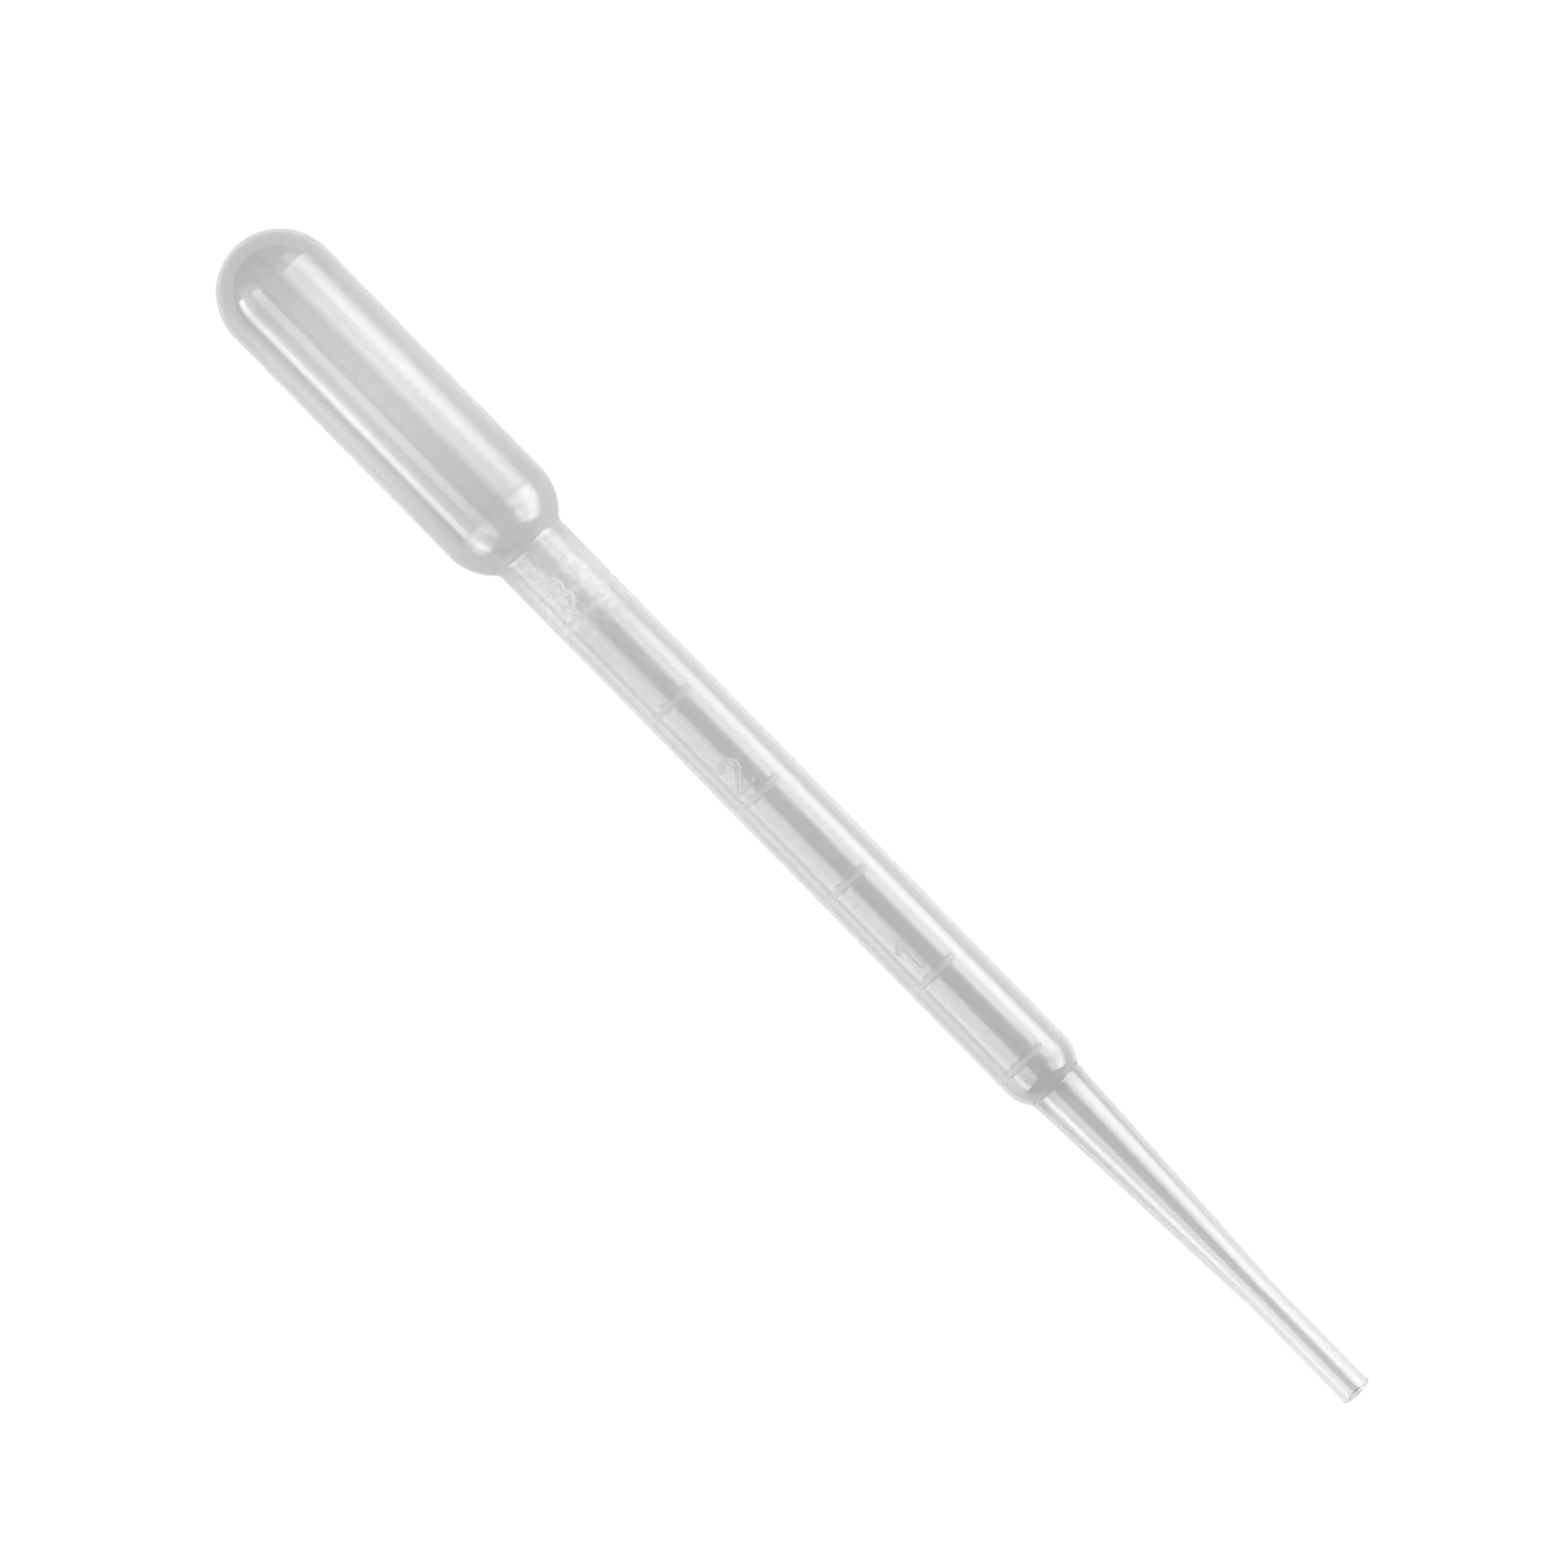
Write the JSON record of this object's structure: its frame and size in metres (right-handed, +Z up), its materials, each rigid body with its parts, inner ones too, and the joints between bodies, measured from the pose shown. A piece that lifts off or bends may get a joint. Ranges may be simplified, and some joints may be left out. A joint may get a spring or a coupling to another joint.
{
  "type": "dropper pipette",
  "caption": "Translucent plastic dropper pipette moulded in one hollow piece: a closed squeeze bulb, a straight barrel with a raised volume scale, and a fine tapered tip with an open mouth.",
  "frame": {"origin": "centre of the bounding box's base: on the bench, halfway along the pipette as it lies", "axes": "+X towards the tip, +Z up off the bench; the pipette's own axis lies in the XZ plane and drops 1.7 degrees towards the tip; the scale faces up, rolled 17.5 degrees towards -Y"},
  "size_m": [0.155, 0.0124, 0.0133],
  "materials": {
    "natural_polyethylene": "natural, undyed low-density polyethylene: translucent, slightly milky and soft, with a smooth mould-polished skin"
  },
  "bodies": {
    "root": {"pipette": "natural_polyethylene"}
  },
  "joints": []
}
